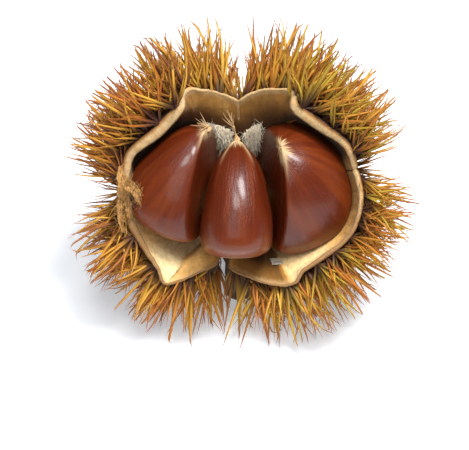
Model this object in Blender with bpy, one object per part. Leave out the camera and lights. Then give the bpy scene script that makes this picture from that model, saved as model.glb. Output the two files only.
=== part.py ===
"""A chestnut in its husk: a spiny husk split open into four valves, with three nuts lying in it.

Lengths are in millimetres up to the last step, which scales them to metres. The husk has its own
frame: X runs across the mouth, Y up the mouth and Z out of the mouth. The empty "burr" carries
that frame, and leans the mouth forward over the flat end of the stalk, which stands on the ground.
"""

import math

import bmesh
import bpy
import numpy as np
from mathutils import Euler, Vector
from mathutils.bvhtree import BVHTree

MM = 0.001

# How the husk stands.
MOUTH_LEAN = math.radians(45)  # from facing straight up, forward over the front
CENTRE_HEIGHT = 42.0  # of the husk's centre, above the ground
CENTRE_PLACE = (-0.8, -6.1)  # the centre, beside the middle of everything's box
DOWN = np.array((0, -math.sin(MOUTH_LEAN), -math.cos(MOUTH_LEAN)))  # in the husk's frame

# The husk's wall.
WALL = 3.3
BACK_DEPTH = 24.5  # outside of the wall, behind the centre
BACK_WIDTH = 0.62  # how far the back stays flat, as a share of the rim's radius
RISE = 0.58  # length of the rim's straight run, as a share of the wall's height
FIT_GAP = 0.35  # between pieces that touch
NUT_ROOM = 0.75  # between the nuts and the lining

# Splits between the valves: azimuth, half gap in degrees, share of the wall's height where
# the split starts, and the radius, height and lean of the rim at the split.
SPLITS = {
    "right": (10.0, 1.8, 0.80, 33.8, 6.0, -2.0),
    "top": (91.0, 1.3, 0.76, 25.6, 3.0, 42.0),
    "left": (180.0, 1.8, 0.70, 33.4, 6.0, -2.0),
    "bottom": (257.5, 5.0, 0.60, 23.0, -6.5, 46.0),
}

# The rim of each valve between its splits: azimuth in degrees, radius, height, lean in degrees.
# A positive lean turns the rim outward, so that the lining shows.
VALVES = {
    "upper_right": (
        "right",
        "top",
        [(21, 33.4, 8.5, -18), (39, 29.6, 10.5, -22), (56, 28.6, 11, -8),
         (63, 30.3, 10, 20), (74, 29.9, 6, 40)],
    ),
    "upper_left": (
        "top",
        "left",
        [(107, 29.6, 6, 40), (119, 31.2, 10, 18), (127, 29.5, 11, -6),
         (145, 29.6, 10.5, -22), (165, 33.8, 8, -16)],
    ),
    "lower_left": (
        "left",
        "bottom",
        [(193, 33.7, 4.5, 0), (210, 32.8, 2.5, 16), (226, 33.0, 1.5, 32),
         (234, 34.6, 0.5, 42), (241, 30.6, -1.5, 44), (248, 26.6, -4.5, 46)],
    ),
    "lower_right": (
        "bottom",
        "right",
        [(270, 25.2, -5.0, 46), (282, 28.2, -2.5, 44), (298, 30.9, 0.5, 36),
         (306, 29.8, 1.5, 24), (320, 31.2, 3.5, 8), (337, 34.6, 5.5, 0), (354, 35.2, 7, -4)],
    ),
}

# Azimuth of each valve's tip.
TIPS = {"upper_right": 63, "upper_left": 119, "lower_left": 234, "lower_right": 298}

# Spikes of the husk's coat. Their tips lie on an egg round the husk's centre.
SPIKE_REACH = (53.0, 52.0, 52.0)
SPIKE_REACH_LOW = 49.0  # down the mouth
SPIKE_REACH_BACK = 43.5  # away from the mouth
SPIKE_SHORTER = 0.25  # beside the splits
SHORTER_WITHIN = 9.0  # degrees of a split
SPIKE_HEART = (0.0, 0.0, -10.0)  # the spikes point away from here
SPIKE_LEAST = 1.2  # a narrower cell has no spike
ROWS = 11
CELL = 5.4  # width of a cell at the rim
RIM_RADIUS = 31.0  # on the whole

# The stalk under the husk.
STALK_RADIUS = 4.6
STALK_FLARE = 1.3
FLARE_LENGTH = 2.5
STALK_SIDES = 12
STALK_CLEAR = 3.4  # bare ring around the stalk

# Half outline of a nut, from its base to its tip: share of its length, share of its width.
NUT_OUTLINE = [(0, 0), (0.01, 0.48), (0.04, 0.75), (0.09, 0.92), (0.17, 0.99), (0.27, 1.0),
               (0.40, 0.965), (0.53, 0.885), (0.66, 0.775), (0.77, 0.64), (0.86, 0.48),
               (0.93, 0.29), (0.975, 0.13), (1.0, 0.0)]

# A nut: its base and tip, half width out of the mouth, half thickness across it, and the flat
# faces that it has against its neighbours (point, direction that the face looks in).
NUTS = {
    "nut_left": dict(
        base=(-22.0, -7.4, -8.5), tip=(-7.6, 17.2, 6.5), half_width=17.5, half_thickness=14.5,
        flats=[((-11.4, 0.0, 4.0), (0.96, -0.167, 0.24))]),
    "nut_middle": dict(
        base=(-1.0, -19.4, 2.0), tip=(-0.9, 14.4, 3.0), half_width=15.5, half_thickness=10.6,
        flats=[((-11.9, -8.0, 4.0), (-0.96, 0.167, -0.24)), ((9.9, -8.0, 4.0), (0.965, 0.104, -0.24))]),
    "nut_right": dict(
        base=(18.0, -3.6, -14.0), tip=(9.2, 11.2, 13.5), half_width=19.0, half_thickness=17.5,
        flats=[((10.3, 0.0, 4.0), (-0.965, -0.104, 0.24))]),
}

NUT_ROUNDS, NUT_SIDES = 18, 28
NUT_SQUARENESS = 2.3  # of a nut's section: 2 is an ellipse
FLAT_ROUNDNESS = 0.9  # of the edges of the flat faces

# Dried styles at the tips of the nuts: length, widest radius, direction.
STYLES = {
    "style_left": ("nut_left", 4.6, 0.9, (-0.45, 0.62, 0.64)),
    "style_middle": ("nut_middle", 7.6, 1.1, (-0.28, 0.85, 0.45)),
    "style_right": ("nut_right", 2.6, 0.8, (-0.55, 0.80, 0.24)),
}
STYLE_FOOT, STYLE_NECK, STYLE_END = 0.35, 0.5, 0.3  # radii below and above the widest

# Patches that follow the lining: valve, range across the valve, range up the wall, thickness,
# and distance from the lining.
PATCHES = {
    "silk_right": ("upper_right", (0.86, 0.985), (0.36, 0.73), 1.1, 0.4),
    "silk_left": ("upper_left", (0.015, 0.19), (0.36, 0.73), 1.1, 0.4),
    "membrane_flake": ("lower_right", (0.28, 0.37), (0.77, 0.86), 0.45, 0.4),
}

PATCH_STEPS = 5
PATCH_EDGE = 0.35  # thickness at the edge of a patch, as a share of the whole

# The shred of lining torn at the left split: its middle line, half width and thickness.
SHRED_LINE = [(-32.0, 1.8, 8.4), (-30.6, 0.6, 10.2), (-29.2, -0.8, 10.6), (-28.6, -3.4, 9.8)]
SHRED_HALF_WIDTH = (1.3, 1.6, 1.3, 0.5)
SHRED_THICKNESS = 0.5

COLOURS = {
    "husk": ((0.43, 0.26, 0.07), 0.75),
    "stalk": ((0.20, 0.12, 0.05), 0.85),
    "nut": ((0.13, 0.030, 0.010), 0.25),
    "style": ((0.45, 0.29, 0.13), 0.8),
    "silk": ((0.60, 0.56, 0.48), 0.9),
    "lining": ((0.50, 0.33, 0.12), 0.85),
}


def unit(v):
    v = np.asarray(v, float)
    return v / np.maximum(np.linalg.norm(v, axis=-1, keepdims=True), 1e-9)


def smooth_through(xs, ys, x):
    """The values at x of a smooth curve through the points (xs, ys)."""
    xs, ys = np.asarray(xs, float), np.asarray(ys, float)
    runs = np.diff(ys) / np.diff(xs)
    slopes = np.concatenate([[runs[0]], (runs[1:] + runs[:-1]) / 2, [runs[-1]]])
    slopes[1:-1][runs[1:] * runs[:-1] < 0] = 0
    x = np.clip(x, xs[0], xs[-1])
    k = np.clip(np.searchsorted(xs, x) - 1, 0, len(xs) - 2)
    h = xs[k + 1] - xs[k]
    u = (x - xs[k]) / h
    return (ys[k] * (1 + 2 * u) * (1 - u) ** 2 + h * slopes[k] * u * (1 - u) ** 2
            + ys[k + 1] * u * u * (3 - 2 * u) + h * slopes[k + 1] * u * u * (u - 1))


def wall_point(valve, s, t):
    """A point on the outside of the wall: s runs across the valve, t up the wall to the rim."""
    first, last, stations = VALVES[valve]
    turn = 360 if SPLITS[last][0] < SPLITS[first][0] else 0
    a0, a1 = SPLITS[first][0], SPLITS[last][0] + turn
    rim_a = [a0] + [st[0] + (360 if st[0] < a0 else 0) for st in stations] + [a1]
    rim = [SPLITS[first][3:]] + [st[1:] for st in stations] + [SPLITS[last][3:]]
    radius, height, lean = (smooth_through(rim_a, [r[k] for r in rim], a0 + (a1 - a0) * s)
                            for k in range(3))
    lean = np.radians(lean)
    # The split opens from its start up to the rim.
    open0, open1 = (np.clip((t - SPLITS[n][2]) / (1 - SPLITS[n][2]), 0, 1) ** 0.8
                    * SPLITS[n][1] for n in (first, last))
    azimuth = np.radians(a0 + open0 + (a1 - open1 - a0 - open0) * s)
    rise = RISE * (height + BACK_DEPTH)
    p1r, p1z = BACK_WIDTH * radius, -BACK_DEPTH
    p2r, p2z = radius - rise * np.sin(lean), height - rise * np.cos(lean)
    r = 3 * t * (1 - t) ** 2 * p1r + 3 * t * t * (1 - t) * p2r + t ** 3 * radius
    z = (-(1 - t) ** 3 * BACK_DEPTH + 3 * t * (1 - t) ** 2 * p1z
         + 3 * t * t * (1 - t) * p2z + t ** 3 * height)
    return np.stack([r * np.cos(azimuth), r * np.sin(azimuth), z], axis=-1)


def wall_normal(valve, s, t):
    """The direction straight out of the wall's outside."""
    e = 1e-3
    across = wall_point(valve, s + e, t) - wall_point(valve, s - e, t)
    up = wall_point(valve, s, t + e) - wall_point(valve, s, np.maximum(t - e, 0))
    return unit(np.cross(across, up))


def columns(valve, n):
    """Where the wall's columns cross the valve: evenly, but with one through the valve's tip."""
    first, last, stations = VALVES[valve]
    a0 = SPLITS[first][0]
    span = (SPLITS[last][0] - a0) % 360
    s = np.linspace(0, 1, n + 1)
    tip = (TIPS[valve] - a0) / span
    s[int(np.argmin(np.abs(s - tip)))] = tip
    return s


def valve_cells(valve):
    first, last, _ = VALVES[valve]
    span = (SPLITS[last][0] - SPLITS[first][0]) % 360
    return round(math.radians(span) * RIM_RADIUS / CELL)


def split_row(name, rows):
    return round(SPLITS[name][2] * rows)


def husk_shell(rows, cells):
    """Points, and faces by side, of the wall: its outside, its lining, and its cut edges."""
    points, index = [], {}
    names = list(VALVES)

    def corner(side, valve, i, j):
        first, last, _ = VALVES[valve]
        n = cells[valve]
        if j == 0:
            key = (side, "pole")
        elif i == 0 and j <= split_row(first, rows):
            key = (side, first, j)
        elif i == n and j <= split_row(last, rows):
            key = (side, last, j)
        else:
            key = (side, valve, i, j)
        if key not in index:
            s, t = np.array(columns(valve, n)[i]), np.array(j / rows)
            p = wall_point(valve, s, t)
            if side == "lining":
                n_out = wall_normal(valve, s, t) if j else np.array((0, 0, -1.0))
                if key[1] in SPLITS:
                    other = names[(names.index(valve) + (1 if key[1] == last else -1)) % 4]
                    n_out = unit(n_out + wall_normal(other, 1 - s, t))
                p = p - WALL * n_out
            index[key] = len(points)
            points.append(p)
        return index[key]

    faces = {"outside": [], "lining": [], "cut": []}
    for valve in names:
        first, last, _ = VALVES[valve]
        n = cells[valve]
        for j in range(rows):
            for i in range(n):
                for side, order in (("outside", 1), ("lining", -1)):
                    quad = [corner(side, valve, i, j), corner(side, valve, i + 1, j),
                            corner(side, valve, i + 1, j + 1), corner(side, valve, i, j + 1)]
                    if j == 0:
                        quad = quad[1:]
                    faces[side].append(quad[::order])
        for i in range(n):
            ends = [(i, rows), (i + 1, rows)]
            faces["cut"].append([corner("outside", valve, *end) for end in ends]
                                + [corner("lining", valve, *end) for end in ends[::-1]])
        for i, name, order in ((0, first, 1), (n, last, -1)):
            for j in range(split_row(name, rows), rows):
                quad = [corner("outside", valve, i, j), corner("outside", valve, i, j + 1),
                        corner("lining", valve, i, j + 1), corner("lining", valve, i, j)]
                faces["cut"].append(quad[::order])
    return np.array(points), faces


def ground_along(p, d):
    """How far from p the ground lies in direction d, in the husk's frame."""
    fall = float(np.dot(d, DOWN))
    return (CENTRE_HEIGHT - float(np.dot(p, DOWN))) / fall if fall > 1e-3 else math.inf


def reach_along(p, d):
    """How far from p the spikes reach in direction d."""
    egg = np.array(SPIKE_REACH)
    if p[1] < 0:
        egg[1] = SPIKE_REACH_LOW
    if p[2] < 0:
        egg[2] = SPIKE_REACH_BACK
    p, d = p / egg, d / egg
    a, b, c = d @ d, p @ d, p @ p - 1
    return (-b + math.sqrt(b * b - a * c)) / a


def add_spikes(points, outside):
    """Replaces each cell of the outside by a four-sided spike, except near the stalk."""
    spiked, extra = [], []
    for quad in outside:
        ring = points[quad]
        middle = ring.mean(axis=0)
        below = np.dot(middle, DOWN)
        aside = np.linalg.norm(middle - DOWN * below)
        near_stalk = aside < STALK_RADIUS + STALK_CLEAR and below > 0
        width = min(np.linalg.norm(ring[0] - ring[1]), np.linalg.norm(ring[-1] - ring[-2]))
        if len(quad) < 4 or near_stalk or width < SPIKE_LEAST:
            spiked.append(quad)
            continue
        azimuth = math.degrees(math.atan2(middle[1], middle[0]))
        apart = min(abs((azimuth - split[0] + 180) % 360 - 180) for split in SPLITS.values())
        d = unit(middle - np.array(SPIKE_HEART))
        shorter = SPIKE_SHORTER * math.exp(-(apart / SHORTER_WITHIN) ** 2)
        length = min(reach_along(middle, d) * (1 - shorter), ground_along(middle, d))
        extra.append(middle + length * d)
        tip = len(points) + len(extra) - 1
        spiked += [[a, b, tip] for a, b in zip(quad, quad[1:] + quad[:1])]
    return np.concatenate([points, extra]), spiked


def nut_frame(nut):
    base, tip = np.array(nut["base"]), np.array(nut["tip"])
    axis = unit(tip - base)
    out = unit(np.array((0, 0, 1.0)) - axis * axis[2])
    return base, float(np.linalg.norm(tip - base)), axis, out, np.cross(axis, out)


def flatten(points, flats):
    """Presses points that lie past a flat face back onto it, with a rounded edge."""
    for at, looks in flats:
        n = unit(looks)
        past = (points - np.array(at)) @ n
        over = FLAT_ROUNDNESS * np.logaddexp(0, past / FLAT_ROUNDNESS)
        points = points - over[:, None] * n
    return points


def nut_mesh(nut):
    """Points and faces of a nut, closed at its base and its tip."""
    base, length, axis, out, across = nut_frame(nut)
    sides = NUT_SIDES
    share = np.linspace(0, 1, NUT_ROUNDS + 1)
    steps = np.linspace(0, 1, len(NUT_OUTLINE))
    along = smooth_through(steps, [p[0] for p in NUT_OUTLINE], share)[1:-1]
    width = smooth_through(steps, [p[1] for p in NUT_OUTLINE], share)[1:-1]
    turn = np.linspace(0, 2 * math.pi, sides, endpoint=False)
    a, b = np.cos(turn), np.sin(turn)
    k = NUT_SQUARENESS
    round_off = (np.abs(a) ** k + np.abs(b) ** k) ** (-1 / k)
    section = (out * nut["half_width"] * (a * round_off)[:, None]
               + across * nut["half_thickness"] * (b * round_off)[:, None])
    rings = base + axis * (along * length)[:, None, None] + width[:, None, None] * section
    points = np.concatenate([[base], rings.reshape(-1, 3), [base + axis * length]])
    points = flatten(points, nut["flats"])
    faces = []
    last = len(points) - 1
    for i in range(sides):
        k = (i + 1) % sides
        faces.append([0, 1 + k, 1 + i])
        for j in range(len(along) - 1):
            faces.append([1 + j * sides + i, 1 + j * sides + k,
                          1 + (j + 1) * sides + k, 1 + (j + 1) * sides + i])
        faces.append([last - sides + i, last - sides + k, last])
    return points, faces


def keep_inside(points, lining, gap):
    """Moves points that lie within gap of the lining back from it."""
    kept = []
    for p in points:
        p = Vector(p)
        for _ in range(3):
            at, normal, _, _ = lining.find_nearest(p)
            p += normal * max(gap - (p - at).dot(normal), 0)
        kept.append(np.array(p))
    return np.array(kept)


def material(name, kind):
    colour, roughness = COLOURS[kind]
    made = bpy.data.materials.new(name)
    made.use_nodes = True
    shader = made.node_tree.nodes["Principled BSDF"]
    shader.inputs["Base Color"].default_value = (*colour, 1)
    shader.inputs["Roughness"].default_value = roughness
    shader.inputs["Metallic"].default_value = 0
    return made


def add_piece(name, points, faces, kind, parent, smooth=False):
    """One closed piece, its origin at its middle, on the burr's empty."""
    points = np.asarray(points)
    middle = points.mean(axis=0)
    mesh = bpy.data.meshes.new(name)
    mesh.from_pydata([tuple(p) for p in (points - middle) * MM], [], faces)
    shaped = bmesh.new()
    shaped.from_mesh(mesh)
    bmesh.ops.recalc_face_normals(shaped, faces=shaped.faces)
    shaped.to_mesh(mesh)
    shaped.free()
    if smooth:
        mesh.shade_smooth()
        mesh.set_sharp_from_angle(angle=math.radians(50))
    mesh.materials.append(material(name, kind))
    piece = bpy.data.objects.new(name, mesh)
    piece.location = tuple(middle * MM)
    piece.parent = parent
    bpy.context.collection.objects.link(piece)
    return piece


def tapered(start, direction, stations, sides):
    """A round body along a line, closed at both ends: stations are (distance, radius)."""
    d = unit(direction)
    a = unit(np.cross(d, (0.3, 0.1, 0.9)))
    b = np.cross(d, a)
    turn = np.linspace(0, 2 * math.pi, sides, endpoint=False)
    circle = np.outer(np.cos(turn), a) + np.outer(np.sin(turn), b)
    rings = [np.array(start) + d * along + radius * circle for along, radius in stations]
    faces = [list(range(sides))[::-1]]
    for j in range(len(rings) - 1):
        faces += [[j * sides + i, j * sides + (i + 1) % sides,
                   (j + 1) * sides + (i + 1) % sides, (j + 1) * sides + i] for i in range(sides)]
    faces.append([(len(rings) - 1) * sides + i for i in range(sides)])
    return np.concatenate(rings), faces


def patch_mesh(valve, across, up, thickness, off):
    """A thin pillow that follows the lining."""
    n = PATCH_STEPS
    points, faces = [], []
    for layer in range(2):
        for j in range(n + 1):
            for i in range(n + 1):
                s = np.array(across[0] + (across[1] - across[0]) * i / n)
                t = np.array(up[0] + (up[1] - up[0]) * j / n)
                swell = 1 if 0 < i < n and 0 < j < n else PATCH_EDGE
                inward = WALL + off + thickness * swell * layer
                points.append(wall_point(valve, s, t) - inward * wall_normal(valve, s, t))
    row = n + 1
    size = row * row
    for j in range(n):
        for i in range(n):
            a = j * row + i
            low = [a, a + 1, a + row + 1, a + row]
            faces += [low, [k + size for k in low[::-1]]]
    edge = ([i for i in range(n)] + [j * row + n for j in range(n)]
            + [n * row + i for i in range(n, 0, -1)] + [j * row for j in range(n, 0, -1)])
    for a, b in zip(edge, edge[1:] + edge[:1]):
        faces.append([a, a + size, b + size, b])
    return np.array(points), faces


def ribbon_mesh(line, half_widths, thickness):
    """A flat strip along a line, its width across the line and square to the mouth."""
    line = np.array(line, float)
    along = unit(np.gradient(line, axis=0))
    side = unit(np.cross(along, (0, 0, 1.0)))
    up = np.cross(side, along)
    points = []
    for p, half, across, over in zip(line, half_widths, side, up):
        low, high = p - half * across, p + half * across
        points += [low, high, high + thickness * over, low + thickness * over]
    faces = [[3, 2, 1, 0]]
    for j in range(len(line) - 1):
        faces += [[4 * j + k, 4 * j + (k + 1) % 4, 4 * j + 4 + (k + 1) % 4, 4 * j + 4 + k]
                  for k in range(4)]
    faces.append([4 * (len(line) - 1) + k for k in range(4)])
    return np.array(points), faces


for old in list(bpy.data.objects):
    bpy.data.objects.remove(old, do_unlink=True)

burr = bpy.data.objects.new("burr", None)
burr.rotation_euler = Euler((MOUTH_LEAN, 0, 0))
burr.location = (CENTRE_PLACE[0] * MM, CENTRE_PLACE[1] * MM, CENTRE_HEIGHT * MM)
bpy.context.collection.objects.link(burr)

# The husk: wall and spikes are one growth.
shell_points, shell_faces = husk_shell(ROWS, {v: valve_cells(v) for v in VALVES})
lining = BVHTree.FromPolygons([tuple(p) for p in shell_points], shell_faces["lining"])
husk_points, spikes = add_spikes(shell_points, shell_faces["outside"])
add_piece("husk", husk_points, spikes + shell_faces["lining"] + shell_faces["cut"], "husk", burr)

# The stalk, cut off flat where the husk stands.
outside = BVHTree.FromPolygons([tuple(p) for p in shell_points], shell_faces["outside"])
foot = DOWN * CENTRE_HEIGHT
disc, _ = tapered(foot, DOWN, [(0, STALK_RADIUS + STALK_FLARE)], STALK_SIDES)
free = min(outside.ray_cast(Vector(p), Vector(-DOWN))[3] for p in [foot, *disc])
start = CENTRE_HEIGHT - free + FIT_GAP
stalk_points, stalk_faces = tapered(
    (0, 0, 0), DOWN,
    [(start, STALK_RADIUS + STALK_FLARE), (start + FLARE_LENGTH, STALK_RADIUS),
     (CENTRE_HEIGHT, STALK_RADIUS)], STALK_SIDES)
add_piece("stalk", stalk_points, stalk_faces, "stalk", burr, smooth=True)

# The nuts.
for name, nut in NUTS.items():
    points, faces = nut_mesh(nut)
    add_piece(name, keep_inside(points, lining, NUT_ROOM), faces, "nut", burr, smooth=True)

# Their styles.
for name, (nut_name, length, radius, direction) in STYLES.items():
    tip = np.array(NUTS[nut_name]["tip"]) + FIT_GAP * unit(direction)
    points, faces = tapered(
        tip, direction, [(0, STYLE_FOOT), (length * 0.35, STYLE_NECK), (length * 0.8, radius),
                         (length, STYLE_END)], 6)
    add_piece(name, points, faces, "style", burr)

# Silk and membrane on the lining, and the torn shred of it.
for name, (valve, across, up, thickness, off) in PATCHES.items():
    points, faces = patch_mesh(valve, across, up, thickness, off)
    add_piece(name, points, faces, "silk", burr)
points, faces = ribbon_mesh(SHRED_LINE, SHRED_HALF_WIDTH, SHRED_THICKNESS)
add_piece("lining_shred", points, faces, "lining", burr)
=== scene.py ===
"""A chestnut in its husk, as it lies on a table: the looks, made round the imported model."""

import math

import bpy
import numpy as np
from mathutils import Matrix, Vector, noise
from mathutils.bvhtree import BVHTree


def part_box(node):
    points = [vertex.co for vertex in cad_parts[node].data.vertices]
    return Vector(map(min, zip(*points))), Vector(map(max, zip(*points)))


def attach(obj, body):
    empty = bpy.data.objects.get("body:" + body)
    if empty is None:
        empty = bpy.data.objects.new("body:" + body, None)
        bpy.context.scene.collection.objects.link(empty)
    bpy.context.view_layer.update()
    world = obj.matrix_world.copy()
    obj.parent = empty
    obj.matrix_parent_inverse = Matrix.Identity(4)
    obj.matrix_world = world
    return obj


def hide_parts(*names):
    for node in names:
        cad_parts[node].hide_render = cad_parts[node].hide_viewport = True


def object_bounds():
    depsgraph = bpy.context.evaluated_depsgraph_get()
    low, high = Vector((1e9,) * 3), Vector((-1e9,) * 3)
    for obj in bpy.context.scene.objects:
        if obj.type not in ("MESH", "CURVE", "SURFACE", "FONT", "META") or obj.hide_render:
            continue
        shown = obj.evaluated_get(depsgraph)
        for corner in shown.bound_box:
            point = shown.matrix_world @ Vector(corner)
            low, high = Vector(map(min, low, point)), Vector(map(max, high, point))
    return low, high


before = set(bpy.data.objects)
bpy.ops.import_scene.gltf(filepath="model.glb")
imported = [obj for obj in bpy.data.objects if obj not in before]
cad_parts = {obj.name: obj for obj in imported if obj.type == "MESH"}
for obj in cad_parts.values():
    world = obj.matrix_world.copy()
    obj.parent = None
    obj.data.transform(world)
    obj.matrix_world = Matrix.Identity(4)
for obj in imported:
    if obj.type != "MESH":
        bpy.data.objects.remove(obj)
cad_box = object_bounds()


# ---------------------------------------------------------------------------- the husk's wall
# The wall of a chestnut burr is a leathery rind about 3 mm thick. When the nuts are ripe it tears
# from its top into four valves that stay joined at the back, over the stalk. Its inside is a
# suede-like tan lining, its torn edge is cream and fibrous, and its outside is dark and rough.
# The sizes are in millimetres, in the husk's own frame: X across the mouth, Y up it, Z out of it.

MM = 0.001
MOUTH_LEAN = math.radians(45)
CENTRE_HEIGHT = 42.0  # of the husk's middle above the table
WALL = 3.3  # how thick the rind is
BACK_DEPTH = 24.5  # from the husk's middle to its back
BACK_WIDTH = 0.62  # how wide the back stays round, as a share of the rim's radius
RISE = 0.58  # how far down the rim's lean reaches, as a share of the wall's height
ARC_RADIUS = 30.0  # on which an angle round the mouth is laid out as a length

# Splits between the valves: azimuth, half gap in degrees, share of the wall's height where the
# split starts, and the radius, height and lean of the rim at the split.
SPLITS = {
    "right": (10.0, 0.7, 0.80, 33.8, 6.0, -2.0),
    "top": (91.0, 0.6, 0.88, 25.6, 3.0, 42.0),
    "left": (180.0, 1.3, 0.70, 33.4, 6.0, -2.0),
    "bottom": (257.5, 5.0, 0.60, 23.0, -6.5, 46.0),
}
# Each valve: the splits on its two sides, the azimuth of its tip, and its rim between the splits:
# azimuth in degrees, radius, height, lean in degrees.
VALVES = {
    "upper_right": (
        "right", "top", 63,
        [(21, 33.4, 8.5, -18), (39, 29.6, 10.5, -22), (56, 28.6, 11, -8),
         (63, 30.3, 10, 20), (74, 29.9, 6, 40)],
    ),
    "upper_left": (
        "top", "left", 119,
        [(107, 29.6, 6, 40), (119, 31.2, 10, 18), (127, 29.5, 11, -6),
         (145, 29.6, 10.5, -22), (165, 33.8, 8, -16)],
    ),
    "lower_left": (
        "left", "bottom", 234,
        [(193, 33.7, 4.5, 0), (210, 32.8, 2.5, 16), (226, 33.0, 1.5, 32),
         (234, 34.6, 0.5, 42), (241, 30.6, -1.5, 44), (248, 26.6, -4.5, 46)],
    ),
    "lower_right": (
        "bottom", "right", 298,
        [(270, 25.2, -5.0, 46), (282, 28.2, -2.5, 44), (298, 30.9, 0.5, 36),
         (306, 29.8, 1.5, 24), (320, 31.2, 3.5, 8), (337, 34.6, 5.5, 0), (354, 35.2, 7, -4)],
    ),
}
# How thick the torn edge is round the mouth, as a share of the wall: azimuth, share.
EDGE_THICKNESS = [(-23, 0.42), (10, 0.50), (21, 0.60), (39, 0.82), (56, 0.85), (63, 0.45),
                  (74, 0.28), (107, 0.28), (119, 0.45), (127, 0.85), (145, 1.0), (165, 0.80),
                  (180, 0.60), (193, 0.75), (210, 0.60), (226, 0.38), (240, 0.28), (282, 0.28),
                  (298, 0.34), (320, 0.40), (337, 0.42), (355, 0.45), (370, 0.50)]
# How far each valve's tip rolls outward.
TIP_ROLL = {"upper_right": 2.4, "upper_left": 1.8, "lower_left": 1.0, "lower_right": 1.2}
TIP_CREASE = 0.7  # how deep the fold at each tip is
SWELL, PUCKER = 0.45, 0.10  # broad and small unevenness of the wall
TEAR = (0.40, 0.14)  # broad and small unevenness of the torn rim
WALL_ROWS = 66
WALL_COLUMNS = 84
EDGE_STEPS = 5  # strips across the torn edge

stalk_low, stalk_high = (np.array(corner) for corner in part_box("stalk"))
husk_centre = np.append((stalk_low + stalk_high)[:2] / 2, CENTRE_HEIGHT * MM)
husk_turn = np.array(Matrix.Rotation(MOUTH_LEAN, 3, "X"))
down = husk_turn.T @ np.array((0, 0, -1.0))


def placed(points):
    """Points of the husk's frame, in millimetres, as points of the model, in metres."""
    return np.asarray(points) @ husk_turn.T * MM + husk_centre


def unit(v):
    """Directions made one long."""
    v = np.asarray(v, float)
    return v / np.maximum(np.linalg.norm(v, axis=-1, keepdims=True), 1e-9)


def ease(x, low, high):
    """0 below low, 1 above high, and smooth between."""
    u = np.clip((np.asarray(x, float) - low) / (high - low), 0, 1)
    return u * u * (3 - 2 * u)


def smooth_through(xs, ys, x):
    """The values at x of a smooth curve through the points (xs, ys)."""
    xs, ys = np.asarray(xs, float), np.asarray(ys, float)
    runs = np.diff(ys) / np.diff(xs)
    slopes = np.concatenate([[runs[0]], (runs[1:] + runs[:-1]) / 2, [runs[-1]]])
    slopes[1:-1][runs[1:] * runs[:-1] < 0] = 0
    x = np.clip(x, xs[0], xs[-1])
    k = np.clip(np.searchsorted(xs, x) - 1, 0, len(xs) - 2)
    h = xs[k + 1] - xs[k]
    u = (x - xs[k]) / h
    return (ys[k] * (1 + 2 * u) * (1 - u) ** 2 + h * slopes[k] * u * (1 - u) ** 2
            + ys[k + 1] * u * u * (3 - 2 * u) + h * slopes[k + 1] * u * u * (u - 1))


def rim_of(valve, s):
    """The azimuths of a valve's two splits, and its rim's radius, height and lean at s."""
    first, last, _, stations = VALVES[valve]
    a0 = SPLITS[first][0]
    a1 = SPLITS[last][0] + (360 if SPLITS[last][0] < a0 else 0)
    at = [a0] + [st[0] for st in stations] + [a1]
    rim = [SPLITS[first][3:]] + [st[1:] for st in stations] + [SPLITS[last][3:]]
    return a0, a1, [smooth_through(at, [r[k] for r in rim], a0 + (a1 - a0) * s) for k in range(3)]


def wall_point(valve, s, t):
    """A point on the outside of the wall: s runs across the valve, t up the wall to the rim."""
    first, last = VALVES[valve][:2]
    a0, a1, (radius, height, lean) = rim_of(valve, s)
    lean = np.radians(lean)
    open0, open1 = (np.clip((t - SPLITS[n][2]) / (1 - SPLITS[n][2]), 0, 1) ** 0.8
                    * SPLITS[n][1] for n in (first, last))
    azimuth = np.radians(a0 + open0 + (a1 - open1 - a0 - open0) * s)
    rise = RISE * (height + BACK_DEPTH)
    r = (3 * t * (1 - t) ** 2 * BACK_WIDTH * radius
         + 3 * t * t * (1 - t) * (radius - rise * np.sin(lean)) + t ** 3 * radius)
    z = (-((1 - t) ** 3 + 3 * t * (1 - t) ** 2) * BACK_DEPTH
         + 3 * t * t * (1 - t) * (height - rise * np.cos(lean)) + t ** 3 * height)
    return np.stack([r * np.cos(azimuth), r * np.sin(azimuth), z], axis=-1)


def wall_normal(valve, s, t):
    """The direction straight out of the wall's outside."""
    e = 1e-3
    across = wall_point(valve, s + e, t) - wall_point(valve, s - e, t)
    up = wall_point(valve, s, t + e) - wall_point(valve, s, np.maximum(t - e, 0))
    return unit(np.cross(across, up))


def rough(points, size, seed):
    """A smooth random value for each point, from about -1 to 1, that changes over a size in mm."""
    shift = Vector((seed * 17.3, seed * 5.1, seed * 9.7))
    return np.array([noise.noise(Vector(p) / size + shift) for p in points])


def new_mesh(name, points, faces, materials, attributes=None, kinds=None):
    """A piece from points in metres and faces, with values held on its points."""
    mesh = bpy.data.meshes.new(name)
    mesh.from_pydata([tuple(p) for p in points], [], [tuple(int(i) for i in f) for f in faces])
    for material in materials:
        mesh.materials.append(material)
    if kinds is not None:
        mesh.polygons.foreach_set("material_index", np.array(kinds, np.int32))
    for key, values in (attributes or {}).items():
        values = np.asarray(values, np.float32)
        if values.ndim == 1:
            mesh.attributes.new(key, "FLOAT", "POINT").data.foreach_set("value", values)
        else:
            layer = mesh.attributes.new(key, "FLOAT_VECTOR", "POINT")
            layer.data.foreach_set("vector", values.reshape(-1))
    mesh.shade_smooth()
    mesh.update()
    piece = bpy.data.objects.new(name, mesh)
    bpy.context.collection.objects.link(piece)
    return piece


def put(tree, kind, values=None, **settings):
    """A node in a tree. Values go into its inputs, and a socket given as a value is linked."""
    node = tree.nodes.new(kind)
    for key, value in settings.items():
        setattr(node, key, value)
    for key, value in (values or {}).items():
        if isinstance(value, bpy.types.NodeSocket):
            tree.links.new(value, node.inputs[key])
        else:
            node.inputs[key].default_value = value
    return node


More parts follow.
